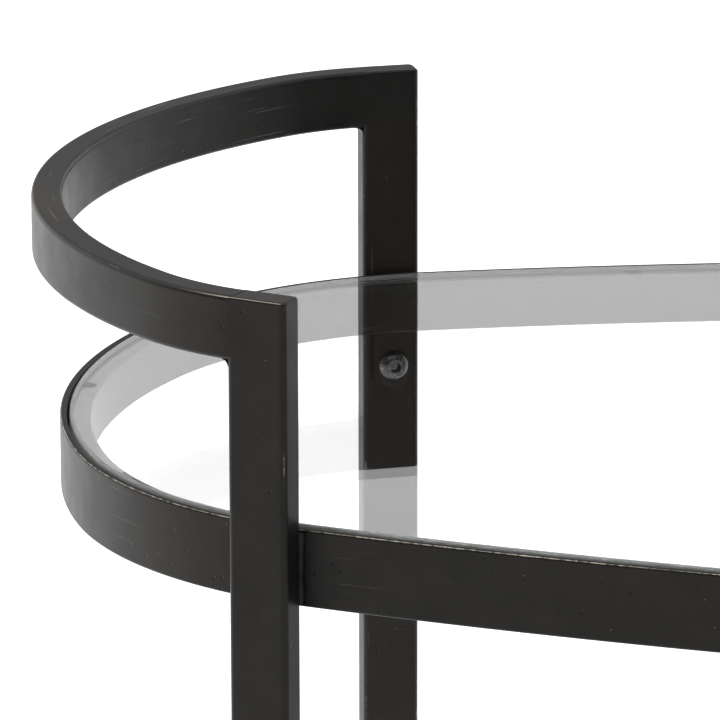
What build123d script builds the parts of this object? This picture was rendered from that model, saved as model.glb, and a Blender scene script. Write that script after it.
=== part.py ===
from build123d import *
import math
import os

# A pair of nesting tables. Each table is an oval glass top lying in a flat-bar rim, carried by
# four legs of rectangular tube. The legs run on past the glass and hold a raised rail round each
# end. The small table stands under the large one and slides out lengthwise between its end legs.
#
# Frame: millimetres, +Z up, the floor at z = 0, X along the tables, origin under the middle of
# the large table.

# ---- Tube and bar stock ----
TUBE_WIDTH = 26.0        # legs and rails: the broad face
TUBE_DEPTH = 13.0        # legs and rails: the narrow face
TUBE_WALL = 1.5
TUBE_ARRIS = 2.2         # rounding of the tube's long edges
TUBE_INNER_ARRIS = 0.8
RIM_HEIGHT = 32.0
RIM_THICK = 3.0
RIM_ARRIS = 0.8
LEDGE_WIDTH = 10.0       # the two bent bars that the glass lies on
LEDGE_ARRIS = 1.0

# ---- Glass ----
GLASS_THICK = 10.0
GLASS_GAP = 1.0          # between the glass edge and the rim
GLASS_BEVEL = 1.5
GLASS_PROUD = 1.2        # how far the glass stands above the rim
PAD_THICK = 1.0
PAD_DIAMETER = 8.0
PAD_COUNT = 8

# ---- Leg fixings ----
TAB_WIDTH = 18.0
TAB_LENGTH = 30.0
TAB_THICK = 3.0
TAB_CORNER = 8.5
SCREW_DROP = 18.0        # screw axis below the rim's lower edge
SCREW_HOLE = 9.0
SCREW_SHANK = 7.8        # M8 thread, with running room in the insert
HEAD_DIAMETER = 14.0
HEAD_HEIGHT = 4.4
HEAD_RIM = 0.7           # straight edge of the head, under its dome
HEAD_FLAT = 3.6          # radius of the flat on top of the dome
HEAD_DOME_POINT = (6.0, 3.0)
SOCKET_ACROSS_FLATS = 5.0
SOCKET_SIDES = 6
SOCKET_DEPTH = 3.0
INSERT_DIAMETER = 11.0
INSERT_LENGTH = 9.0
INSERT_BORE = 8.0

# ---- Leg ends ----
GLIDE_HEIGHT = 3.0       # the part of the glide below the tube
GLIDE_PLUG = 15.0        # the part of the glide inside the tube
GLIDE_CLEARANCE = 0.1
GLIDE_BEVEL = 0.8
CAP_THICK = 2.0
CAP_ARRIS = 1.2

# ---- Plan of the large top: the rim's outer face, a quarter at a time from the tip ----
TIP_RADIUS = 266.0
TIP_ANGLE = 23.2
SHOULDER_RADIUS = 168.5
SHOULDER_ANGLE = 50.8
SIDE_RADIUS = 1570.0
LEG_ANGLE = 68.6         # how far the rim has turned from the tip where a leg stands

# ---- Bend of the rails: rounder than the rim, so that they stand out from it at the shoulder ----
RAIL_TIP_INSET = 2.2     # how far in from the rim's outer face the rail's inner face is, at the tip
RAIL_TIP_ANGLE = 44.6    # the turn of the arc over the tip, up to its change of radius
RAIL_END_ANGLE = 66.9    # how far the rail has turned where it meets a leg

# ---- Heights and places ----
LARGE_GLASS_HEIGHT = 450.0
RAIL_RISE = 94.5         # top of the rail above the rim
NESTING_CLEARANCE = 13.0 # small rail under the large rim
SMALL_SCALE = 0.64       # plan of the small top against the large one
SMALL_SHIFT = 135.0      # how far along +X the small table rests

QUARTER_TURN = 90.0
CUTTING_ALLOWANCE = 8.0  # how far a rail runs into its legs before it is cut off

os.makedirs("parts", exist_ok=True)


def sine(degrees):
    return math.sin(math.radians(degrees))


def cosine(degrees):
    return math.cos(math.radians(degrees))


class TopPlan:
    """The plan of a top: an oval of tangent arcs, given as the radii of one quarter.

    An inset moves the oval's line inward and an outset outward. In the leg methods, end is -1 at
    the left tip and 1 at the right, and side is -1 at the front and 1 at the back.
    """

    def __init__(self, scale, centre_x):
        self.centre_x = centre_x
        self.tip_radius = TIP_RADIUS * scale
        self.shoulder_radius = SHOULDER_RADIUS * scale
        self.side_radius = SIDE_RADIUS * scale
        shoulder_end = TIP_ANGLE + SHOULDER_ANGLE
        self.side_angle = QUARTER_TURN - shoulder_end
        self.half_width = (
            self.tip_radius * sine(TIP_ANGLE)
            + self.shoulder_radius * (sine(shoulder_end) - sine(TIP_ANGLE))
            + self.side_radius * (1 - sine(shoulder_end))
        )
        self.half_length = (
            self.tip_radius * (1 - cosine(TIP_ANGLE))
            + self.shoulder_radius * (cosine(TIP_ANGLE) - cosine(shoulder_end))
            + self.side_radius * cosine(shoulder_end)
        )
        self.rail_half_length = self.half_length + TUBE_DEPTH / 2 - RAIL_TIP_INSET

    def outline(self, inset):
        """The edges of the closed oval."""
        with BuildLine() as oval:
            side = JernArc(
                start=(self.centre_x, self.half_width - inset),
                tangent=(-1, 0),
                radius=self.side_radius - inset,
                arc_size=self.side_angle,
            )
            shoulder = JernArc(
                start=side @ 1,
                tangent=side % 1,
                radius=self.shoulder_radius - inset,
                arc_size=SHOULDER_ANGLE,
            )
            JernArc(
                start=shoulder @ 1,
                tangent=shoulder % 1,
                radius=self.tip_radius - inset,
                arc_size=TIP_ANGLE,
            )
            mirror(about=Plane.XZ)
            mirror(about=Plane.YZ.offset(self.centre_x))
        return oval.edges()

    def leg_section(self, end, side, outset, height):
        """A level plane at a leg: its Y points outward and its X along the rim."""
        to_shoulder_centre = self.tip_radius - self.shoulder_radius
        reach = self.shoulder_radius + outset
        from_tip_centre = to_shoulder_centre * cosine(TIP_ANGLE) + reach * cosine(LEG_ANGLE)
        across = to_shoulder_centre * sine(TIP_ANGLE) + reach * sine(LEG_ANGLE)
        along = self.half_length - self.tip_radius + from_tip_centre
        return Plane(
            origin=(self.centre_x + end * along, side * across, height),
            x_dir=(side * sine(LEG_ANGLE), -end * cosine(LEG_ANGLE), 0),
            z_dir=(0, 0, 1),
        )

    def leg_inner_face(self, end, side, outset, height):
        """An upright plane at a leg: its normal points into the table and its Y is up."""
        section = self.leg_section(end, side, outset, height)
        return Plane(origin=section.origin, x_dir=section.x_dir, z_dir=-section.y_dir)

    def rail_end(self, end, side):
        """The leg's side face that a rail butts against, its normal along the rail."""
        section = self.leg_section(end, side, TUBE_DEPTH / 2, 0)
        along_rail = section.x_dir * (end * side)
        return Plane(origin=section.origin + along_rail * (TUBE_WIDTH / 2), z_dir=along_rail)

    def rail_radii(self):
        """The radii of the rail's two arcs, which carry its middle line from tip to leg."""
        leg_face = self.rail_end(1, 1).origin
        reach_x = self.rail_half_length - (leg_face.X - self.centre_x)
        reach_y = leg_face.Y
        tip_x = 1 - cosine(RAIL_TIP_ANGLE)
        tip_y = sine(RAIL_TIP_ANGLE)
        shoulder_x = cosine(RAIL_TIP_ANGLE) - cosine(RAIL_END_ANGLE)
        shoulder_y = sine(RAIL_END_ANGLE) - sine(RAIL_TIP_ANGLE)
        determinant = tip_x * shoulder_y - tip_y * shoulder_x
        tip_radius = (reach_x * shoulder_y - reach_y * shoulder_x) / determinant
        shoulder_radius = (tip_x * reach_y - tip_y * reach_x) / determinant
        return tip_radius, shoulder_radius


with BuildSketch() as tube_section:
    RectangleRounded(TUBE_WIDTH, TUBE_DEPTH, TUBE_ARRIS)
    RectangleRounded(
        TUBE_WIDTH - 2 * TUBE_WALL,
        TUBE_DEPTH - 2 * TUBE_WALL,
        TUBE_INNER_ARRIS,
        mode=Mode.SUBTRACT,
    )


def leg_places():
    """The four legs, as (name, end, side)."""
    for end_name, end in (("left", -1), ("right", 1)):
        for side_name, side in (("front", -1), ("back", 1)):
            yield f"{side_name}_{end_name}", end, side


def save(part, name):
    part.label = name
    export_step(part, f"parts/{name}.step")


def save_copies(single, planes, name):
    """Write one node that holds a copy of a small piece on each plane."""
    with BuildPart() as group:
        with Locations(*[Location(plane) for plane in planes]):
            add(single)
    save(group.part, name)


def make_rim(plan, bottom):
    """The flat bar on edge, bent round the whole top."""
    with BuildPart() as rim:
        with BuildSketch(Plane.XY.offset(bottom)):
            make_face(plan.outline(0))
            make_face(plan.outline(RIM_THICK), mode=Mode.SUBTRACT)
        extrude(amount=RIM_HEIGHT)
        levels = rim.edges().group_by(Axis.Z)
        fillet(levels[0] + levels[-1], RIM_ARRIS)
    return rim.part


def make_support_bar(plan, end, bottom, height):
    """The bar inside one half of the rim, which the glass lies on."""
    with BuildPart() as ring:
        with BuildSketch(Plane.XY.offset(bottom)):
            make_face(plan.outline(RIM_THICK))
            make_face(plan.outline(RIM_THICK + LEDGE_WIDTH), mode=Mode.SUBTRACT)
        extrude(amount=height)
        level_faces = ring.faces().sort_by(Axis.Z)
        inner_edges = level_faces[0].inner_wires().edges() + level_faces[-1].inner_wires().edges()
        fillet(inner_edges, LEDGE_ARRIS)
        middle = Plane(origin=(plan.centre_x, 0, 0), z_dir=(end, 0, 0))
        split(bisect_by=middle, keep=Keep.TOP)
    return ring.part


def make_glass(plan, bottom):
    with BuildPart() as glass:
        with BuildSketch(Plane.XY.offset(bottom)):
            make_face(plan.outline(RIM_THICK + GLASS_GAP))
        extrude(amount=GLASS_THICK)
        levels = glass.edges().group_by(Axis.Z)
        chamfer(levels[0] + levels[-1], GLASS_BEVEL)
    return glass.part


def make_pads(plan, bottom):
    """The soft discs between the support bars and the glass."""
    ring_middle = Wire(plan.outline(RIM_THICK + LEDGE_WIDTH / 2))
    places = [ring_middle @ (index / PAD_COUNT) for index in range(PAD_COUNT)]
    with BuildPart() as pads:
        with BuildSketch(Plane.XY.offset(bottom)):
            with Locations(*places):
                Circle(PAD_DIAMETER / 2)
        extrude(amount=PAD_THICK)
    return pads.part


def make_rail(plan, end, top):
    """The bent tube over one end, cut off against the side faces of its two legs."""
    tip_radius, shoulder_radius = plan.rail_radii()
    tip_x = plan.centre_x + end * plan.rail_half_length
    with BuildPart() as rail:
        with BuildLine(Plane.XY.offset(top - TUBE_WIDTH / 2)) as middle:
            tip = JernArc(
                start=(tip_x, 0), tangent=(0, 1), radius=tip_radius, arc_size=end * RAIL_TIP_ANGLE
            )
            shoulder = JernArc(
                start=tip @ 1,
                tangent=tip % 1,
                radius=shoulder_radius,
                arc_size=end * (RAIL_END_ANGLE - RAIL_TIP_ANGLE),
            )
            Line(shoulder @ 1, shoulder @ 1 + (shoulder % 1) * CUTTING_ALLOWANCE)
            mirror(about=Plane.XZ)
        path = middle.wire()
        with BuildSketch(Plane(origin=path @ 0, x_dir=(0, 0, 1), z_dir=path % 0)):
            add(tube_section.sketch)
        sweep(path=path)
        for side in (-1, 1):
            split(bisect_by=plan.rail_end(end, side), keep=Keep.TOP)
    return rail.part


def make_leg(plan, end, side, top, screw_height):
    """An upright tube, with a hole in its inner wall for the threaded insert."""
    with BuildPart() as leg:
        with BuildSketch(plan.leg_section(end, side, TUBE_DEPTH / 2, GLIDE_HEIGHT)):
            add(tube_section.sketch)
        extrude(amount=top - CAP_THICK - GLIDE_HEIGHT)
        with BuildSketch(plan.leg_inner_face(end, side, 0, screw_height)):
            Circle(INSERT_DIAMETER / 2)
        extrude(amount=-TUBE_DEPTH / 2, mode=Mode.SUBTRACT)
    return leg.part


def make_tab(plan, end, side, rim_bottom):
    """The plate under the rim, flat against the leg's inner face."""
    centre_height = rim_bottom - TAB_LENGTH / 2
    with BuildPart() as tab:
        with BuildSketch(plan.leg_inner_face(end, side, 0, centre_height)) as outline:
            Rectangle(TAB_WIDTH, TAB_LENGTH)
            fillet(outline.vertices().group_by(Axis.Y)[0], TAB_CORNER)
            with Locations((0, TAB_LENGTH / 2 - SCREW_DROP)):
                Circle(SCREW_HOLE / 2, mode=Mode.SUBTRACT)
        extrude(amount=TAB_THICK)
    return tab.part


def make_screw():
    """A button-head screw along -Z, the seat of its head at z = 0."""
    with BuildPart() as screw:
        with BuildSketch(Plane.XZ):
            with BuildLine():
                Polyline((HEAD_FLAT, HEAD_HEIGHT), (0, HEAD_HEIGHT), (0, 0), (HEAD_DIAMETER / 2, 0))
                Line((HEAD_DIAMETER / 2, 0), (HEAD_DIAMETER / 2, HEAD_RIM))
                ThreePointArc(
                    (HEAD_DIAMETER / 2, HEAD_RIM), HEAD_DOME_POINT, (HEAD_FLAT, HEAD_HEIGHT)
                )
            make_face()
        revolve(axis=Axis.Z)
        with BuildSketch(Plane.XY.offset(HEAD_HEIGHT)):
            RegularPolygon(SOCKET_ACROSS_FLATS / 2, SOCKET_SIDES, major_radius=False)
        extrude(amount=-SOCKET_DEPTH, mode=Mode.SUBTRACT)
        with BuildSketch(Plane.XY):
            Circle(SCREW_SHANK / 2)
        extrude(amount=-(TAB_THICK + INSERT_LENGTH))
    return screw.part


def make_insert():
    """A threaded insert along -Z, its flush face at z = 0."""
    with BuildPart() as insert:
        with BuildSketch(Plane.XY):
            Circle(INSERT_DIAMETER / 2)
            Circle(INSERT_BORE / 2, mode=Mode.SUBTRACT)
        extrude(amount=-INSERT_LENGTH)
    return insert.part


def make_glide():
    """A plastic foot: a plate under the tube and a plug up inside it."""
    with BuildPart() as glide:
        with BuildSketch(Plane.XY):
            RectangleRounded(TUBE_WIDTH, TUBE_DEPTH, TUBE_ARRIS)
        extrude(amount=GLIDE_HEIGHT)
        chamfer(glide.edges().group_by(Axis.Z)[0], GLIDE_BEVEL)
        with BuildSketch(Plane.XY.offset(GLIDE_HEIGHT)):
            RectangleRounded(
                TUBE_WIDTH - 2 * TUBE_WALL - 2 * GLIDE_CLEARANCE,
                TUBE_DEPTH - 2 * TUBE_WALL - 2 * GLIDE_CLEARANCE,
                TUBE_INNER_ARRIS,
            )
        extrude(amount=GLIDE_PLUG)
    return glide.part


def make_cap():
    """The plate welded over the top of a leg tube."""
    with BuildPart() as cap:
        with BuildSketch(Plane.XY):
            RectangleRounded(TUBE_WIDTH, TUBE_DEPTH, TUBE_ARRIS)
        extrude(amount=CAP_THICK)
        fillet(cap.edges().group_by(Axis.Z)[-1], CAP_ARRIS)
    return cap.part


def make_table(table, plan, glass_height):
    rim_top = glass_height - GLASS_PROUD
    rim_bottom = rim_top - RIM_HEIGHT
    glass_bottom = glass_height - GLASS_THICK
    ring_top = glass_bottom - PAD_THICK
    rail_top = rim_top + RAIL_RISE
    screw_height = rim_bottom - SCREW_DROP

    save(make_rim(plan, rim_bottom), f"{table}_rim_band")
    save(make_pads(plan, ring_top), f"{table}_glass_pads")
    save(make_glass(plan, glass_bottom), f"{table}_glass_top")
    for end_name, end in (("left", -1), ("right", 1)):
        support_bar = make_support_bar(plan, end, rim_bottom, ring_top - rim_bottom)
        save(support_bar, f"{table}_{end_name}_support_bar")
        save(make_rail(plan, end, rail_top), f"{table}_{end_name}_rail")
    for place, end, side in leg_places():
        save(make_leg(plan, end, side, rail_top, screw_height), f"{table}_{place}_leg")
        save(make_tab(plan, end, side, rim_bottom), f"{table}_{place}_tab")

    legs = [(end, side) for _, end, side in leg_places()]
    tab_faces = [plan.leg_inner_face(*leg, -TAB_THICK, screw_height) for leg in legs]
    leg_faces = [plan.leg_inner_face(*leg, 0, screw_height) for leg in legs]
    leg_feet = [plan.leg_section(*leg, TUBE_DEPTH / 2, 0) for leg in legs]
    leg_tops = [plan.leg_section(*leg, TUBE_DEPTH / 2, rail_top - CAP_THICK) for leg in legs]
    save_copies(make_screw(), tab_faces, f"{table}_screws")
    save_copies(make_insert(), leg_faces, f"{table}_threaded_inserts")
    save_copies(make_glide(), leg_feet, f"{table}_foot_glides")
    save_copies(make_cap(), leg_tops, f"{table}_leg_caps")


# The small rail has to pass under the large rim.
small_glass_height = LARGE_GLASS_HEIGHT - RIM_HEIGHT - NESTING_CLEARANCE - RAIL_RISE

make_table("large", TopPlan(1, 0), LARGE_GLASS_HEIGHT)
make_table("small", TopPlan(SMALL_SCALE, SMALL_SHIFT), small_glass_height)
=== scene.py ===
import math

import bpy
from mathutils import Matrix, Vector


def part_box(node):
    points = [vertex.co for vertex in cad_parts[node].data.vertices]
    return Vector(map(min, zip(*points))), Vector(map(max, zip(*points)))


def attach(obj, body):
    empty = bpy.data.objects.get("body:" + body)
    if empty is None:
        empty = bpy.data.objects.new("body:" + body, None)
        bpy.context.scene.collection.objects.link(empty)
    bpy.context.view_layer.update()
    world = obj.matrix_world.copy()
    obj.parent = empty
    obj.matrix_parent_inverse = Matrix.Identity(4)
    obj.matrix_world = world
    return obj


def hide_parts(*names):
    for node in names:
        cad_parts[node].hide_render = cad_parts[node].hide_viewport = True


# The looks of a pair of nesting tables: black tube and flat bar, clear glass tops.
# Metres, in the CAD's frame: +Z up, the floor at z = 0, X along the tables.

MM = 0.001

# ---- Stock, as in the CAD but for LEG_ARRIS and GLASS_SETTLED, which follow the photo ----
TUBE_WIDTH = 26 * MM
TUBE_DEPTH = 13 * MM
TUBE_ARRIS = 2.2 * MM
LEG_ARRIS = 2.6 * MM
LEG_TOP_ARRIS = 1.2 * MM
LEG_TOP_STEP = 0.15 * MM  # how far a leg's top lies below the rail's
RIM_HEIGHT = 32 * MM
RIM_THICK = 3 * MM
RIM_ARRIS = 1.3 * MM
LEDGE_WIDTH = 10 * MM
LEDGE_ARRIS = 1.0 * MM
GLASS_THICK = 10 * MM
GLASS_GAP = 1 * MM
GLASS_ARRIS = 1.6 * MM
GLASS_PROUD = 1.2 * MM
GLASS_SETTLED = 0.6 * MM  # how far the glass's top lies below the CAD's
PAD_THICK = 1 * MM
RAIL_RISE = 94.5 * MM
GLIDE_HEIGHT = 3 * MM

# ---- Plan of the large top: the rim's outer face, a quarter at a time from the tip ----
TIP_RADIUS = 266 * MM
TIP_ANGLE = 23.2
SHOULDER_RADIUS = 168.5 * MM
SHOULDER_ANGLE = 50.8
SIDE_RADIUS = 1570 * MM
LEG_ANGLE = 68.6
RAIL_TIP_INSET = 2.2 * MM
RAIL_TIP_ANGLE = 44.6
RAIL_END_ANGLE = 66.9
SMALL_SCALE = 0.64

# ---- Weld beads, ground and painted over ----
RAIL_BEAD = 3.0 * MM
RIM_BEAD = 1.2 * MM
BEAD_TUCK = 0.6  # how much of the tube's arris a rail bead stops short of
BEAD_CORNER_STEPS = 6

# ---- Wear, partly a painted highlight where its pale line runs unbroken: how exposed each arris is, anticlockwise from the section's +x and +y ----
# The rim's outer top arris, at 1, shows an unbroken pale line: worn paint and a painted highlight.
RIM_WEAR_AND_SHEEN = (0.2, 1, 0.5, 0.2)
RAIL_EXPOSED = {"left": (1, 0.7, 0.7, 0.9), "right": (0.7, 1, 0.9, 0.7)}
# Arris weight at which the pale line runs unbroken: wear at the rails' ends, and along the legs' top
# outward arris also a painted highlight.
FULL_WEAR_AND_SHEEN = 1.25
WORN_END = 30 * MM

# ---- Fineness of the meshes ----
BAR_STEP = 5 * MM
GLASS_STEP = 6 * MM
RAIL_STEP = 3 * MM
BEAD_STEP = 1.5 * MM
LEG_STEPS = 40
LEG_TOP_STEPS = 6

ENDS = (("left", -1), ("right", 1))
SIDES = (("front", -1), ("back", 1))


# ---- Geometry helpers ----

def sine(degrees):
    return math.sin(math.radians(degrees))


def cosine(degrees):
    return math.cos(math.radians(degrees))


class TopPlan:
    """The plan of a top: an oval of tangent arcs about centre_x."""

    def __init__(self, scale, centre_x):
        self.centre_x = centre_x
        self.tip = TIP_RADIUS * scale
        self.shoulder = SHOULDER_RADIUS * scale
        self.side = SIDE_RADIUS * scale
        turned = TIP_ANGLE + SHOULDER_ANGLE
        self.side_angle = 90 - turned
        self.half_length = (
            self.tip * (1 - cosine(TIP_ANGLE))
            + self.shoulder * (cosine(TIP_ANGLE) - cosine(turned))
            + self.side * cosine(turned)
        )

    def outline(self, inset, step):
        """The closed oval moved inward by inset, as (point, heading in degrees), from the left tip."""
        quarter = [
            (self.tip - inset, TIP_ANGLE),
            (self.shoulder - inset, SHOULDER_ANGLE),
            (self.side - inset, self.side_angle),
        ]
        arcs = (quarter + quarter[::-1]) * 2
        start = Vector((self.centre_x - self.half_length + inset, 0))
        return trace(start, -90, arcs, 1, step)[:-1]

    def half_outline(self, end, inset, step):
        """One end's half of the oval, from the middle of the front to the middle of the back."""
        half_width = (
            self.tip * sine(TIP_ANGLE)
            + self.shoulder * (sine(TIP_ANGLE + SHOULDER_ANGLE) - sine(TIP_ANGLE))
            + self.side * (1 - sine(TIP_ANGLE + SHOULDER_ANGLE))
        )
        quarter = [
            (self.side - inset, self.side_angle),
            (self.shoulder - inset, SHOULDER_ANGLE),
            (self.tip - inset, TIP_ANGLE),
        ]
        start = Vector((self.centre_x, inset - half_width))
        return trace(start, 90 - 90 * end, quarter + quarter[::-1], end, step)

    def leg_frame(self, end, side, outset):
        """(origin, outward, to_tip) of a leg's section: outward and to_tip are unit vectors in plan."""
        to_shoulder = self.tip - self.shoulder
        reach = self.shoulder + outset
        along = (
            self.half_length - self.tip
            + to_shoulder * cosine(TIP_ANGLE) + reach * cosine(LEG_ANGLE)
        )
        across = to_shoulder * sine(TIP_ANGLE) + reach * sine(LEG_ANGLE)
        origin = Vector((self.centre_x + end * along, side * across, 0))
        outward = Vector((end * cosine(LEG_ANGLE), side * sine(LEG_ANGLE), 0))
        to_tip = Vector((end * sine(LEG_ANGLE), -side * cosine(LEG_ANGLE), 0))
        return origin, outward, to_tip

    def rail_line(self, end, step):
        """The rail's middle line from its front leg to its back leg, as (point, heading).

        The two radii are solved so that the line spans the legs and reaches its place at the tip.
        """
        origin, _, to_tip = self.leg_frame(1, 1, TUBE_DEPTH / 2)
        face = origin + to_tip * TUBE_WIDTH / 2
        reach_x = self.half_length + TUBE_DEPTH / 2 - RAIL_TIP_INSET - (face.x - self.centre_x)
        tip_x = 1 - cosine(RAIL_TIP_ANGLE)
        tip_y = sine(RAIL_TIP_ANGLE)
        shoulder_x = cosine(RAIL_TIP_ANGLE) - cosine(RAIL_END_ANGLE)
        shoulder_y = sine(RAIL_END_ANGLE) - sine(RAIL_TIP_ANGLE)
        determinant = tip_x * shoulder_y - tip_y * shoulder_x
        tip = (reach_x * shoulder_y - face.y * shoulder_x) / determinant
        shoulder = (tip_x * face.y - tip_y * reach_x) / determinant
        turn = RAIL_END_ANGLE - RAIL_TIP_ANGLE
        arcs = [(shoulder, turn), (tip, 2 * RAIL_TIP_ANGLE), (shoulder, turn)]
        start = Vector((self.centre_x + end * (face.x - self.centre_x), -face.y))
        heading = 90 - end * RAIL_END_ANGLE
        line = trace(start, heading, arcs, end, step)
        leg_heading = 90 - end * LEG_ANGLE
        into_front = Vector((cosine(leg_heading), sine(leg_heading))) * -LEG_ARRIS
        into_back = Vector((cosine(180 - leg_heading), sine(180 - leg_heading))) * LEG_ARRIS
        first = (line[0][0] + into_front, leg_heading)
        last = (line[-1][0] + into_back, 180 - leg_heading)
        return [first, *line, last]


def trace(start, heading, arcs, turn_sign, step):
    """Points along tangent arcs, each (point, heading in degrees). Positive turns go left."""
    line = [(start.copy(), heading)]
    point = start.copy()
    for radius, turn in arcs:
        count = max(2, math.ceil(radius * math.radians(turn) / step))
        to_centre = Vector((-sine(heading), cosine(heading))) * turn_sign
        centre = point + to_centre * radius
        for index in range(1, count + 1):
            now = heading + turn_sign * turn * index / count
            away = Vector((sine(now), -cosine(now))) * turn_sign
            line.append((centre + away * radius, now))
        heading += turn_sign * turn
        point = line[-1][0].copy()
    return line


def rounded_section(width, height, radius, corner_steps=6, exposed=(1, 1, 1, 1)):
    """A rounded rectangle as (x, y, normal x, normal y, arris), arris 1 at a corner's middle.

    exposed weights the arris at each corner, anticlockwise from the corner at +x and +y.
    """
    section = []
    for quadrant in range(4):
        x_sign = (1, -1, -1, 1)[quadrant]
        y_sign = (1, 1, -1, -1)[quadrant]
        centre_x = x_sign * (width / 2 - radius)
        centre_y = y_sign * (height / 2 - radius)
        for step in range(corner_steps + 1):
            angle = 90 * (quadrant + step / corner_steps)
            normal_x, normal_y = cosine(angle), sine(angle)
            arris = (1 - abs(2 * step / corner_steps - 1)) * exposed[quadrant]
            section.append((centre_x + radius * normal_x, centre_y + radius * normal_y,
                            normal_x, normal_y, arris))
    return section


def build_mesh(name, rings, closed, capped):
    """A skin over rings of (position, normal, arris, along, around), with its own exact normals."""
    around = len(rings[0])
    vertices = [vertex[0] for ring in rings for vertex in ring]
    normals = [vertex[1] for ring in rings for vertex in ring]
    count = len(rings)
    faces = []
    for ring in range(count if closed else count - 1):
        here, there = ring * around, (ring + 1) % count * around
        for index in range(around):
            following = (index + 1) % around
            faces.append((here + index, here + following, there + following, there + index))
    if capped:
        faces.append(tuple(range(around))[::-1])
        faces.append(tuple(range((count - 1) * around, count * around)))
    mesh = bpy.data.meshes.new(name)
    mesh.from_pydata(vertices, [], faces)
    mesh.validate()
    for attribute_name, slot in (("arris", 2), ("along", 3), ("around", 4)):
        attribute = mesh.attributes.new(attribute_name, "FLOAT", "POINT")
        values = [vertex[slot] for ring in rings for vertex in ring]
        attribute.data.foreach_set("value", values)
    mesh.polygons.foreach_set("use_smooth", [True] * len(mesh.polygons))
    mesh.normals_split_custom_set_from_vertices(normals)
    mesh.update()
    obj = bpy.data.objects.new(name, mesh)
    bpy.context.scene.collection.objects.link(obj)
    return obj


def section_perimeter(section):
    """How far round the section each of its points lies."""
    places = [0.0]
    for before, after in zip(section, section[1:]):
        places.append(places[-1] + math.hypot(after[0] - before[0], after[1] - before[1]))
    return places


def level_sweep(name, line, section, height, closed, worn_end=0.0):
    """A bar swept level: the section's x is to the left of the heading and its y is up.

    The arrises are worn through within worn_end of each end.
    """
    length = sum((after[0] - before[0]).length for before, after in zip(line, line[1:]))
    places = section_perimeter(section)
    rings = []
    along = 0.0
    previous = line[0][0]
    for point, heading in line:
        along += (point - previous).length
        previous = point
        left = Vector((-sine(heading), cosine(heading), 0))
        base = Vector((point.x, point.y, height))
        from_end = min(along, length - along)
        rub = 1 + (FULL_WEAR_AND_SHEEN - 1) * max(0, 1 - from_end / worn_end) if worn_end else 1
        ring = []
        for (x, y, normal_x, normal_y, arris), place in zip(section, places):
            position = base + left * x + Vector((0, 0, y))
            normal = left * normal_x + Vector((0, 0, normal_y))
            ring.append((position, normal, arris * rub, along, place))
        rings.append(ring)
    return build_mesh(name, rings, closed, not closed)


# ---- Materials ----

class Shader:
    """A small helper that wires one material's nodes."""

    def __init__(self, name):
        self.material = bpy.data.materials.new(name)
        self.material.use_nodes = True
        self.tree = self.material.node_tree
        self.surface = self.tree.nodes["Principled BSDF"]

    def node(self, kind, **settings):
        node = self.tree.nodes.new(kind)
        for key, value in settings.items():
            setattr(node, key, value)
        return node

    def link(self, source, target):
        self.tree.links.new(source, target)

    def feed(self, target, value):
        """Links a socket, or sets a plain value."""
        if isinstance(value, bpy.types.NodeSocket):
            self.link(value, target)
        else:
            target.default_value = value

    def attribute(self, name):
        return self.node("ShaderNodeAttribute", attribute_name=name).outputs["Fac"]

    def place(self):
        return self.node("ShaderNodeTexCoord").outputs["Object"]

    def math(self, operation, first, second=0.0, clamp=False):
        node = self.node("ShaderNodeMath", operation=operation, use_clamp=clamp)
        self.feed(node.inputs[0], first)
        self.feed(node.inputs[1], second)
        return node.outputs[0]

    def vector(self, x, y, z=0.0):
        node = self.node("ShaderNodeCombineXYZ")
        for socket, value in zip(node.inputs, (x, y, z)):
            self.feed(socket, value)
        return node.outputs[0]

    def noise(self, scale, detail=3.0, roughness=0.5, vector=None):
        node = self.node("ShaderNodeTexNoise")
        node.inputs["Scale"].default_value = scale
        node.inputs["Detail"].default_value = detail
        node.inputs["Roughness"].default_value = roughness
        self.feed(node.inputs["Vector"], vector or self.place())
        return node.outputs["Fac"]

    def spots(self, scale, vector=None):
        """(distance to the nearest spot's middle, that spot's own random number)."""
        node = self.node("ShaderNodeTexVoronoi")
        node.inputs["Scale"].default_value = scale
        self.feed(node.inputs["Vector"], vector or self.place())
        split = self.node("ShaderNodeSeparateColor")
        self.link(node.outputs["Color"], split.inputs[0])
        return node.outputs["Distance"], split.outputs[0]

    def ramp(self, value, low, high, out_low=0.0, out_high=1.0):
        node = self.node("ShaderNodeMapRange", interpolation_type="SMOOTHSTEP")
        self.feed(node.inputs["Value"], value)
        node.inputs["From Min"].default_value = low
        node.inputs["From Max"].default_value = high
        node.inputs["To Min"].default_value = out_low
        node.inputs["To Max"].default_value = out_high
        return node.outputs[0]

    def mix(self, factor, first, second):
        node = self.node("ShaderNodeMix", data_type="RGBA")
        self.feed(node.inputs["Factor"], factor)
        for socket, value in ((node.inputs[6], first), (node.inputs[7], second)):
            if isinstance(value, tuple):
                value = (*value, 1.0)
            self.feed(socket, value)
        return node.outputs[2]

    def blend(self, factor, first, second):
        node = self.node("ShaderNodeMix", data_type="FLOAT")
        self.feed(node.inputs["Factor"], factor)
        self.feed(node.inputs[2], first)
        self.feed(node.inputs[3], second)
        return node.outputs[0]

    def bump(self, height, distance, strength=1.0):
        node = self.node("ShaderNodeBump")
        node.inputs["Distance"].default_value = distance
        node.inputs["Strength"].default_value = strength
        self.link(height, node.inputs["Height"])
        return node.outputs[0]


# ---- Colours and refraction ----
COAT_DARK = (0.005, 0.005, 0.0052)
COAT_PALE = (0.0115, 0.011, 0.0103)
COAT_BROWN = (0.021, 0.016, 0.012)
COAT_PIT = (0.006, 0.006, 0.006)
COAT_TINT = (1.0, 0.965, 0.925, 1.0)
COAT_IOR = 1.37
SCRATCH_GREY = (0.19, 0.185, 0.175)
DUST = (0.2, 0.19, 0.18)
BARE_STEEL_AND_SHEEN = (0.5, 0.45, 0.36)
GLASS_IOR = 1.52
SILICONE_IOR = 1.41


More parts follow.
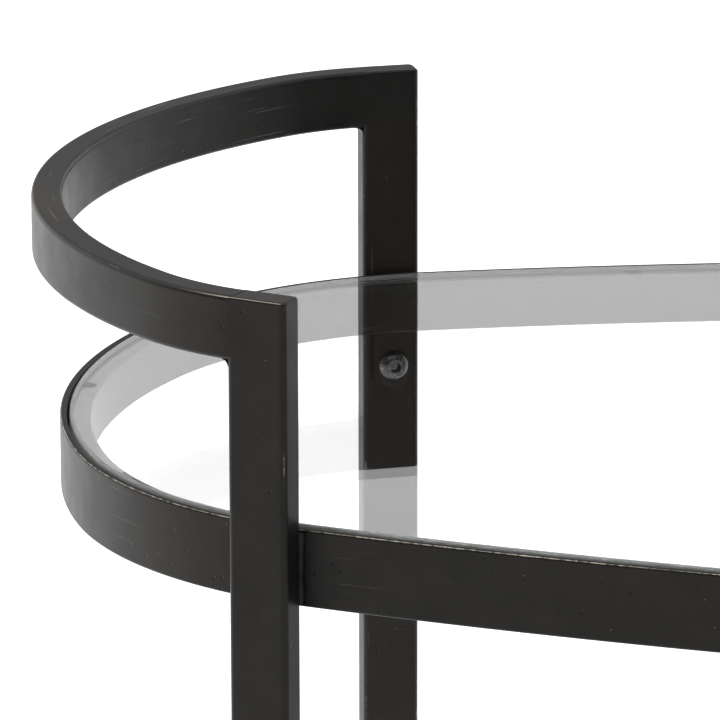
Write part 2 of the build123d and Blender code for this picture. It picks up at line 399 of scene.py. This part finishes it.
def black_steel(name, edge_wear_and_sheen, scratched):
    """Satin black coating over steel: mottled, scratched, pitted, worn pale on the arrises, with a
    painted highlight where that pale line runs unbroken.

    The second argument is how much of the arrises shows the pale line, worn through and, where it runs
    unbroken, also a painted highlight; scratched is how much of the faces has scratches, both from 0 to
    about 1.
    """
    shader = Shader(name)
    along = shader.attribute("along")
    around = shader.attribute("around")
    arris = shader.attribute("arris")

    mottle = shader.ramp(shader.noise(scale=38, detail=5, roughness=0.6), low=0.3, high=0.72)
    warmth = shader.ramp(shader.noise(scale=7, detail=3), low=0.42, high=0.68)
    grain = shader.noise(scale=900, detail=2, roughness=0.7)
    colour = shader.mix(mottle, COAT_DARK, COAT_PALE)
    colour = shader.mix(shader.math("MULTIPLY", warmth, 0.6), colour, COAT_BROWN)

    # Long fine scratches that run nearly with the bar.
    slant = shader.math("ADD", around, shader.math("MULTIPLY", along, 0.018))
    scratch_place = shader.vector(
        shader.math("MULTIPLY", along, 16.0), shader.math("MULTIPLY", slant, 1500.0)
    )
    scratch = shader.ramp(shader.noise(1, 2, 0.5, scratch_place), 0.655, 0.71)
    scratch_zone = shader.ramp(shader.noise(9, 2), 0.65 - 0.18 * scratched, 0.72 - 0.14 * scratched)
    scratch = shader.math("MULTIPLY", scratch, scratch_zone)
    colour = shader.mix(shader.math("MULTIPLY", scratch, 0.65), colour, SCRATCH_GREY)

    # Pits in the coating and pale specks of dust on it.
    pit_distance, pit_chance = shader.spots(260)
    pit = shader.math(
        "MULTIPLY", shader.ramp(pit_distance, 0.26, 0.1), shader.ramp(pit_chance, 0.8, 0.82)
    )
    pit = shader.math("MULTIPLY", pit, shader.ramp(shader.noise(11, 2), 0.44, 0.54))
    speck_distance, speck_chance = shader.spots(520)
    speck = shader.math(
        "MULTIPLY", shader.ramp(speck_distance, 0.24, 0.12), shader.ramp(speck_chance, 0.985, 0.988)
    )
    colour = shader.mix(shader.math("MULTIPLY", pit, 0.7), colour, COAT_PIT)
    colour = shader.mix(shader.math("MULTIPLY", speck, 0.5), colour, DUST)

    # Wear: pale broken lines along the arrises. Where a line runs unbroken, on the rim's outer top arris
    # and the legs' top outward arris, it is also a painted highlight.
    ragged = shader.noise(420, 4, 0.7)
    patchy = shader.ramp(shader.noise(24, 3, 0.6), 0.62 - 0.25 * edge_wear_and_sheen, 0.75 - 0.2 * edge_wear_and_sheen)
    patchy = shader.math("MAXIMUM", patchy, shader.ramp(arris, 1.02, 1.15))
    worn_and_sheen = shader.math("ADD", arris, shader.math("MULTIPLY", shader.math("SUBTRACT", ragged, 0.5), 1.1))
    worn_and_sheen = shader.math("MULTIPLY", shader.ramp(worn_and_sheen, 0.8, 1.0), patchy)
    # The pale arris colour: bare steel showing through, and a painted highlight where the line is
    # unbroken.
    colour = shader.mix(shader.math("MULTIPLY", worn_and_sheen, 0.9), colour, BARE_STEEL_AND_SHEEN)
    shader.feed(shader.surface.inputs["Base Color"], colour)

    # Roughness: upward faces are dulled, and scratches and wear have their own.
    roughness = shader.ramp(shader.noise(60, 4, 0.6), 0.3, 0.7, out_low=0.36, out_high=0.42)
    upward = shader.node("ShaderNodeSeparateXYZ")
    shader.link(shader.node("ShaderNodeNewGeometry").outputs["Normal"], upward.inputs[0])
    dulled = shader.ramp(upward.outputs["Z"], 0.6, 0.95)
    roughness = shader.blend(dulled, roughness, 0.68)
    roughness = shader.blend(scratch, roughness, 0.55)
    roughness = shader.blend(worn_and_sheen, roughness, 0.38)
    shader.feed(shader.surface.inputs["Roughness"], roughness)
    shader.surface.inputs["IOR"].default_value = COAT_IOR
    shader.surface.inputs["Specular Tint"].default_value = COAT_TINT

    # Relief: soft waves and grain, with pits, scratches and wear sunk in and specks raised.
    relief = shader.math("MULTIPLY", shader.noise(110, 3, 0.5), 0.25)
    relief = shader.math("ADD", relief, shader.math("MULTIPLY", grain, 0.1))
    relief = shader.math("SUBTRACT", relief, shader.math("MULTIPLY", pit, 1.2))
    relief = shader.math("SUBTRACT", relief, shader.math("MULTIPLY", scratch, 0.25))
    relief = shader.math("SUBTRACT", relief, shader.math("MULTIPLY", worn_and_sheen, 0.3))
    relief = shader.math("ADD", relief, shader.math("MULTIPLY", speck, 0.8))
    shader.feed(shader.surface.inputs["Normal"], shader.bump(relief, 0.00012))
    return shader.material


def clear_glass():
    """Clear float glass, faintly smeared."""
    shader = Shader("clear_glass")
    smear = shader.ramp(shader.noise(14, 4, 0.7), 0.55, 0.8, 0.0, 0.012)
    shader.feed(shader.surface.inputs["Roughness"], smear)
    tint = shader.mix(shader.noise(3, 2), (0.985, 0.995, 0.99), (0.99, 0.997, 0.995))
    shader.feed(shader.surface.inputs["Base Color"], tint)
    shader.surface.inputs["Transmission Weight"].default_value = 1.0
    shader.surface.inputs["IOR"].default_value = GLASS_IOR
    return shader.material


def ground_glass():
    """The ground edge of the glass: frosted, darkened grey-green as a painted shade, with small bright
    nicks left nearly clear.
    """
    shader = Shader("ground_glass_edge")
    sparkle = shader.ramp(shader.noise(1100, 2, 0.8), 0.48, 0.56)
    # The dark grey-green base is painted shade that darkens the edge; the bright nicks keep an almost
    # clear colour.
    colour = shader.mix(sparkle, (0.25, 0.28, 0.27), (0.98, 0.99, 0.98))
    shader.feed(shader.surface.inputs["Base Color"], colour)
    roughness = shader.blend(sparkle, 0.55, 0.2)
    shader.feed(shader.surface.inputs["Roughness"], roughness)
    shader.surface.inputs["Transmission Weight"].default_value = 0.65
    shader.surface.inputs["IOR"].default_value = GLASS_IOR
    shader.feed(shader.surface.inputs["Normal"], shader.bump(shader.noise(1100, 3, 0.8), 0.0002))
    return shader.material


def moulded_plastic():
    """The foot glides: slightly grained black plastic."""
    shader = Shader("moulded_black_plastic")
    colour = shader.mix(shader.noise(45, 4), (0.018, 0.018, 0.019), (0.032, 0.032, 0.033))
    shader.feed(shader.surface.inputs["Base Color"], colour)
    roughness = shader.ramp(shader.noise(300, 3), 0.3, 0.7, out_low=0.45, out_high=0.62)
    shader.feed(shader.surface.inputs["Roughness"], roughness)
    shader.feed(shader.surface.inputs["Normal"], shader.bump(shader.noise(1600, 2), 0.00006))
    return shader.material


def black_oxide():
    """The screws: darker and a little glossier than the tubes, rubbed on the high places."""
    shader = Shader("black_oxide_screw")
    rub = shader.ramp(shader.noise(700, 3, 0.6), 0.52, 0.68)
    colour = shader.mix(rub, (0.13, 0.13, 0.13), (0.24, 0.235, 0.23))
    shader.feed(shader.surface.inputs["Base Color"], colour)
    shader.feed(shader.surface.inputs["Roughness"], shader.blend(rub, 0.18, 0.28))
    shader.surface.inputs["Metallic"].default_value = 0.85
    shader.feed(shader.surface.inputs["Normal"], shader.bump(shader.noise(1300, 2), 0.00004))
    return shader.material


def zinc_plate():
    """The threaded inserts: mottled zinc."""
    shader = Shader("zinc_plated_insert")
    colour = shader.mix(shader.noise(240, 4), (0.42, 0.4, 0.35), (0.62, 0.6, 0.55))
    shader.feed(shader.surface.inputs["Base Color"], colour)
    shader.surface.inputs["Metallic"].default_value = 1.0
    roughness = shader.ramp(shader.noise(500, 3), 0.3, 0.7, out_low=0.3, out_high=0.5)
    shader.feed(shader.surface.inputs["Roughness"], roughness)
    return shader.material


def black_silicone():
    """The pads under the glass."""
    shader = Shader("black_silicone_pad")
    colour = shader.mix(shader.noise(90, 3), (0.01, 0.01, 0.01), (0.018, 0.018, 0.018))
    shader.feed(shader.surface.inputs["Base Color"], colour)
    roughness = shader.ramp(shader.noise(400, 3), 0.3, 0.7, out_low=0.5, out_high=0.65)
    shader.feed(shader.surface.inputs["Roughness"], roughness)
    shader.surface.inputs["IOR"].default_value = SILICONE_IOR
    return shader.material


def pale_floor():
    """The studio floor: an even white that glows a little towards the back, as a lit sweep does."""
    shader = Shader("studio_floor")
    colour = shader.mix(shader.noise(2, 2), (0.88, 0.88, 0.88), (0.9, 0.9, 0.9))
    shader.feed(shader.surface.inputs["Base Color"], colour)
    shader.surface.inputs["Roughness"].default_value = 0.9
    shader.surface.inputs["Specular IOR Level"].default_value = 0.0
    shader.surface.inputs["Emission Color"].default_value = (1.0, 1.0, 1.0, 1.0)
    across = shader.node("ShaderNodeSeparateXYZ")
    shader.link(shader.place(), across.inputs[0])
    glow = shader.ramp(across.outputs["Y"], GLOW_FRONT, GLOW_BACK, 0.0, FLOOR_GLOW)
    shader.feed(shader.surface.inputs["Emission Strength"], glow)
    return shader.material


# ---- Pieces ----

def finish_piece(piece, body, material, slot, *nodes):
    """Gives a piece its material and its body, and hides the CAD nodes that it stands for; slot is not
    used.
    """
    piece.data.materials.append(material)
    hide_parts(*nodes)
    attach(piece, body)


def make_leg(table, body, plan, place, end, side, top):
    """One upright tube, its top closed, with softened edges there."""
    origin, outward, to_tip = plan.leg_frame(end, side, TUBE_DEPTH / 2)
    right = to_tip if end * side > 0 else -to_tip
    section = rounded_section(TUBE_WIDTH, TUBE_DEPTH, LEG_ARRIS)
    places = section_perimeter(section)
    levels = [(GLIDE_HEIGHT, 0.0, 0.0)]
    for step in range(1, LEG_STEPS + 1):
        height = GLIDE_HEIGHT + (top - LEG_TOP_ARRIS - GLIDE_HEIGHT) * step / LEG_STEPS
        levels.append((height, 0.0, 0.0))
    for step in range(1, LEG_TOP_STEPS + 1):
        angle = 90 * step / LEG_TOP_STEPS
        height = top - LEG_TOP_ARRIS * (1 - sine(angle))
        levels.append((height, LEG_TOP_ARRIS * (1 - cosine(angle)), angle))
    rings = []
    for height, inset, tilt in levels:
        ring = []
        for (x, y, normal_x, normal_y, arris), distance in zip(section, places):
            flat = right * normal_x + outward * normal_y
            position = origin + right * x + outward * y - flat * inset
            position.z = height
            normal = flat * cosine(tilt) + Vector((0, 0, 1)) * sine(tilt)
            # Along the top's outward arris the pale line runs unbroken: worn paint and a painted
            # highlight.
            top_edge = FULL_WEAR_AND_SHEEN * (1 - abs(2 * tilt / 90 - 1)) * normal_y if tilt else 0.0
            edge = max(arris, top_edge)
            ring.append((position, normal, edge, height, distance))
        rings.append(ring)
    leg = build_mesh(f"{table}_{place}_leg_tube", rings, False, True)
    finish_piece(leg, body, MATERIALS["leg"], "black_steel", f"{table}_{place}_leg", f"{table}_leg_caps")


def make_glass(table, body, plan, top):
    """The glass: polished faces, and an edge ground to a soft round."""
    rings = []
    middle = top + GLASS_PROUD - (GLASS_THICK + GLASS_SETTLED) / 2
    line = plan.outline(RIM_THICK + GLASS_GAP, GLASS_STEP)
    section = rounded_section(2 * GLASS_ARRIS, GLASS_THICK - GLASS_SETTLED, GLASS_ARRIS, 5)
    outer = sorted((spot[1], spot[0]) for spot in section if spot[2] >= -0.001)
    for point, heading in line:
        right = Vector((sine(heading), -cosine(heading), 0))
        ring = []
        for y, x in outer:
            level = Vector((point.x, point.y, middle + y))
            ring.append(level + right * (x - GLASS_ARRIS))
        rings.append(ring)
    around = len(outer)
    count = len(rings)
    vertices = [vertex for ring in rings for vertex in ring]
    faces = []
    for index in range(count):
        here, there = index * around, (index + 1) % count * around
        for step in range(around - 1):
            faces.append((here + step, there + step, there + step + 1, here + step + 1))
    edge_faces = len(faces)
    faces.append(tuple(index * around + around - 1 for index in range(count)))
    faces.append(tuple(index * around for index in range(count))[::-1])
    mesh = bpy.data.meshes.new(f"{table}_glass")
    mesh.from_pydata(vertices, [], faces)
    mesh.validate()
    smooth = [index < edge_faces for index in range(len(mesh.polygons))]
    mesh.polygons.foreach_set("use_smooth", smooth)
    mesh.materials.append(MATERIALS["glass"])
    mesh.materials.append(MATERIALS["glass_edge"])
    for index, polygon in enumerate(mesh.polygons):
        polygon.material_index = 1 if index < edge_faces else 0
    mesh.update()
    glass = bpy.data.objects.new(f"{table}_glass", mesh)
    bpy.context.scene.collection.objects.link(glass)
    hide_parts(f"{table}_glass_top")
    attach(glass, body)


def make_rim(table, body, plan, top):
    """The flat bar bent round the whole top."""
    # Its outer top arris carries an unbroken pale line: worn paint and a painted highlight.
    section = rounded_section(RIM_THICK, RIM_HEIGHT, RIM_ARRIS, exposed=RIM_WEAR_AND_SHEEN)
    line = plan.outline(RIM_THICK / 2, BAR_STEP)
    rim = level_sweep(f"{table}_rim", line, section, top - RIM_HEIGHT / 2, True)
    finish_piece(rim, body, MATERIALS["rim"], "black_steel", f"{table}_rim_band")


def make_ledge(table, body, plan, end_name, end, top):
    """One half of the ledge inside the rim, which carries the glass on its pads."""
    height = RIM_HEIGHT + GLASS_PROUD - GLASS_THICK - PAD_THICK
    section = rounded_section(LEDGE_WIDTH, height, LEDGE_ARRIS, 4)
    line = plan.half_outline(end, RIM_THICK + LEDGE_WIDTH / 2, BAR_STEP)
    middle = top - RIM_HEIGHT + height / 2
    name = f"{table}_{end_name}_support_bar"
    ledge = level_sweep(f"{table}_{end_name}_ledge", line, section, middle, False)
    finish_piece(ledge, body, MATERIALS["ledge"], "black_steel", name)


def make_rail(table, body, plan, end_name, end, top):
    """The bent tube between the tops of an end's two legs."""
    exposed = RAIL_EXPOSED[end_name]
    section = rounded_section(TUBE_DEPTH, TUBE_WIDTH, TUBE_ARRIS, exposed=exposed)
    line = plan.rail_line(end, RAIL_STEP)
    name = f"{table}_{end_name}_rail_tube"
    rail = level_sweep(name, line, section, top - TUBE_WIDTH / 2, False, WORN_END)
    finish_piece(rail, body, MATERIALS["rail"], "black_steel", f"{table}_{end_name}_rail")


def make_bead(name, body, corner, across, down, length_way, length, size):
    """A concave weld bead: it fills the corner between two faces that run along across and down."""
    profile = [(0.0, 0.0, -1, -1)]
    for step in range(BEAD_CORNER_STEPS + 1):
        angle = 90 * step / BEAD_CORNER_STEPS
        x, y = size * (1 - sine(angle)), size * (1 - cosine(angle))
        profile.append((x, y, sine(angle), cosine(angle)))
    count = max(4, math.ceil(length / BEAD_STEP))
    rings = []
    for index in range(count + 1):
        along = length * index / count
        swell = 1 + 0.05 * math.sin(along / (1.7 * MM)) + 0.06 * math.sin(along / (4.3 * MM) + 1)
        ring = []
        for x, y, normal_x, normal_y in profile:
            position = corner + (across * x + down * y) * swell + length_way * along
            normal = (across * normal_x + down * normal_y).normalized()
            ring.append((position, normal, 0.0, along, x))
        rings.append(ring)
    if across.cross(down).dot(length_way) < 0:
        rings.reverse()
    bead = build_mesh(name, rings, False, True)
    bead.data.materials.append(MATERIALS["bead"])
    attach(bead, body)


def make_leg_beads(table, body, plan, place, end, side, top):
    """Beads under the rail's end, and down each side of the leg where the rim touches it."""
    down = Vector((0, 0, -1))
    origin, outward, to_tip = plan.leg_frame(end, side, 0)
    corner = origin + to_tip * TUBE_WIDTH / 2
    corner.z = top + RAIL_RISE - TUBE_WIDTH
    inset = TUBE_ARRIS * BEAD_TUCK
    make_bead(f"{table}_{place}_rail_bead", body, corner + outward * inset, to_tip, down,
              outward, TUBE_DEPTH - 2 * inset, RAIL_BEAD)
    for name, way in (("tip", to_tip), ("middle", -to_tip)):
        corner = origin + way * (TUBE_WIDTH / 2 - LEG_ARRIS)
        corner.z = top - RIM_ARRIS
        make_bead(f"{table}_{place}_{name}_rim_bead", body, corner, way, outward,
                  down, RIM_HEIGHT - 2 * RIM_ARRIS, RIM_BEAD + LEG_ARRIS)


def dress(node, material):
    """Gives a CAD node that stays in view its finish."""
    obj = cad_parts[node]
    for slot in obj.material_slots:
        slot.material = material


def make_table(table, body, plan, top):
    """All the pieces of one table, whose rim's top edge is at top."""
    rail_top = top + RAIL_RISE
    make_rim(table, body, plan, top)
    make_glass(table, body, plan, top)
    for end_name, end in ENDS:
        make_ledge(table, body, plan, end_name, end, top)
        make_rail(table, body, plan, end_name, end, rail_top)
        for side_name, side in SIDES:
            place = f"{side_name}_{end_name}"
            make_leg(table, body, plan, place, end, side, rail_top - LEG_TOP_STEP)
            make_leg_beads(table, body, plan, place, end, side, top)
            dress(f"{table}_{place}_tab", MATERIALS["plain_steel"])
    dress(f"{table}_screws", MATERIALS["screw"])
    dress(f"{table}_threaded_inserts", MATERIALS["insert"])
    dress(f"{table}_foot_glides", MATERIALS["glide"])
    dress(f"{table}_glass_pads", MATERIALS["pad"])


# ---- Studio ----

FLOOR_RADIUS = 30
FLOOR_GLOW = 0.6
GLOW_FRONT = -0.7
GLOW_BACK = 0.4
BACKDROP = 1.35
STUDIO_BRIGHT = 1.12
STUDIO_DIM = 0.055
LIT_BEHIND = (-0.45, 0.55)
LIT_ABOVE = (0.55, 0.9)
WHITE = (1.0, 1.0, 1.0)
WARM = (1.0, 0.86, 0.72)
CAMERA_PLACE = (-0.1394, -2.3644, 1.1276)
CAMERA_YAW = -0.1255
CAMERA_PITCH = 0.2723
CAMERA_ROLL = -0.0023
CAMERA_LENS = 292.3
SENSOR = 36.0


def make_floor():
    """A wide flat disc at z = 0."""
    mesh = bpy.data.meshes.new("floor")
    rim = [(FLOOR_RADIUS * cosine(angle), FLOOR_RADIUS * sine(angle), 0.0) for angle in range(0, 360, 6)]
    mesh.from_pydata(rim, [], [tuple(range(len(rim)))])
    floor = bpy.data.objects.new("floor", mesh)
    bpy.context.scene.collection.objects.link(floor)
    mesh.materials.append(pale_floor())


def smooth_step(tree, source, low, high):
    """A soft step from 0 at low to 1 at high."""
    node = tree.nodes.new("ShaderNodeMapRange")
    node.interpolation_type = "SMOOTHSTEP"
    node.inputs["From Min"].default_value = low
    node.inputs["From Max"].default_value = high
    tree.links.new(source, node.inputs["Value"])
    return node.outputs[0]


def make_world():
    """White all round to the eye; the light itself comes from behind, above and the sides."""
    world = bpy.data.worlds.new("studio")
    bpy.context.scene.world = world
    world.use_nodes = True
    tree = world.node_tree
    tree.nodes.clear()
    output = tree.nodes.new("ShaderNodeOutputWorld")
    direction = tree.nodes.new("ShaderNodeTexCoord")
    split = tree.nodes.new("ShaderNodeSeparateXYZ")
    tree.links.new(direction.outputs["Generated"], split.inputs[0])
    behind = smooth_step(tree, split.outputs["Y"], *LIT_BEHIND)
    above = smooth_step(tree, split.outputs["Z"], *LIT_ABOVE)
    most = tree.nodes.new("ShaderNodeMath")
    most.operation = "MAXIMUM"
    tree.links.new(behind, most.inputs[0])
    tree.links.new(above, most.inputs[1])
    level = tree.nodes.new("ShaderNodeMapRange")
    level.inputs["To Min"].default_value = STUDIO_DIM
    level.inputs["To Max"].default_value = STUDIO_BRIGHT
    tree.links.new(most.outputs[0], level.inputs["Value"])
    studio = tree.nodes.new("ShaderNodeBackground")
    studio.inputs["Color"].default_value = (*WHITE, 1.0)
    tree.links.new(level.outputs[0], studio.inputs["Strength"])
    seen = tree.nodes.new("ShaderNodeBackground")
    seen.inputs["Color"].default_value = (*WHITE, 1.0)
    seen.inputs["Strength"].default_value = BACKDROP
    path = tree.nodes.new("ShaderNodeLightPath")
    mix = tree.nodes.new("ShaderNodeMixShader")
    tree.links.new(path.outputs["Is Camera Ray"], mix.inputs[0])
    tree.links.new(studio.outputs[0], mix.inputs[1])
    tree.links.new(seen.outputs[0], mix.inputs[2])
    tree.links.new(mix.outputs[0], output.inputs["Surface"])


def make_softbox(name, place, aim, size, power, colour):
    """A square lamp at place that faces aim."""
    data = bpy.data.lights.new(name, "AREA")
    data.size = size
    data.energy = power
    data.color = colour
    light = bpy.data.objects.new(name, data)
    bpy.context.scene.collection.objects.link(light)
    facing = Vector(aim) - Vector(place)
    turn = facing.to_track_quat("-Z", "Y").to_matrix().to_4x4()
    light.matrix_world = Matrix.Translation(place) @ turn


def make_camera():
    """The photo's view."""
    data = bpy.data.cameras.new("camera")
    data.sensor_width = SENSOR
    data.lens = CAMERA_LENS
    data.clip_end = 100
    camera = bpy.data.objects.new("camera", data)
    bpy.context.scene.collection.objects.link(camera)
    forward = Vector((
        math.sin(CAMERA_YAW) * math.cos(CAMERA_PITCH),
        math.cos(CAMERA_YAW) * math.cos(CAMERA_PITCH),
        -math.sin(CAMERA_PITCH),
    ))
    level_right = Vector((math.cos(CAMERA_YAW), -math.sin(CAMERA_YAW), 0))
    level_up = level_right.cross(forward)
    right = level_right * math.cos(CAMERA_ROLL) + level_up * math.sin(CAMERA_ROLL)
    up = right.cross(forward)
    turn = Matrix((right, up, -forward)).transposed()
    camera.matrix_world = Matrix.Translation(CAMERA_PLACE) @ turn.to_4x4()
    bpy.context.scene.camera = camera
    bpy.context.scene.view_settings.view_transform = "Standard"


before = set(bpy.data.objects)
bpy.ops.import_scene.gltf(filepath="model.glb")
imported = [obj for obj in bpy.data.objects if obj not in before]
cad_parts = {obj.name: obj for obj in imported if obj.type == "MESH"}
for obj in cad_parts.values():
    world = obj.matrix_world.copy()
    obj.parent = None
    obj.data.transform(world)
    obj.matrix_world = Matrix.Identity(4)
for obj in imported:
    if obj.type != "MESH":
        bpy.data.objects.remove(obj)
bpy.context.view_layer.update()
MATERIALS = {
    "rail": black_steel("black_steel_rail", edge_wear_and_sheen=0.12, scratched=1.5),
    "leg": black_steel("black_steel_leg", edge_wear_and_sheen=0.12, scratched=0.35),
    # The rim's high setting makes the pale line on its outer top arris unbroken: worn paint and a
    # painted highlight.
    "rim": black_steel("black_steel_rim", edge_wear_and_sheen=1.3, scratched=0.35),
    "ledge": black_steel("black_steel_ledge", edge_wear_and_sheen=0.2, scratched=0.2),
    "bead": black_steel("black_steel_bead", edge_wear_and_sheen=0.0, scratched=0.0),
    "plain_steel": black_steel("black_steel_small_parts", edge_wear_and_sheen=0.0, scratched=0.2),
    "glass": clear_glass(),
    "glass_edge": ground_glass(),
    "screw": black_oxide(),
    "insert": zinc_plate(),
    "glide": moulded_plastic(),
    "pad": black_silicone(),
}
large_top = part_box("large_rim_band")[1][2]
small_low, small_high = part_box("small_rim_band")
make_table("large", "large_table", TopPlan(1, 0), large_top)
small_centre = (small_low[0] + small_high[0]) / 2
make_table("small", "small_table", TopPlan(SMALL_SCALE, small_centre), small_high[2])
make_floor()
make_world()
make_softbox(
    "left_softbox", place=(-2.5, -1.0, 0.38), aim=(-0.4, 0.2, 0.4), size=0.2, power=2.5, colour=WARM
)
make_softbox(
    "top_softbox", place=(-1.5, -0.7, 2.9), aim=(-0.45, -0.1, 0.5), size=0.5, power=30, colour=WHITE
)
make_camera()
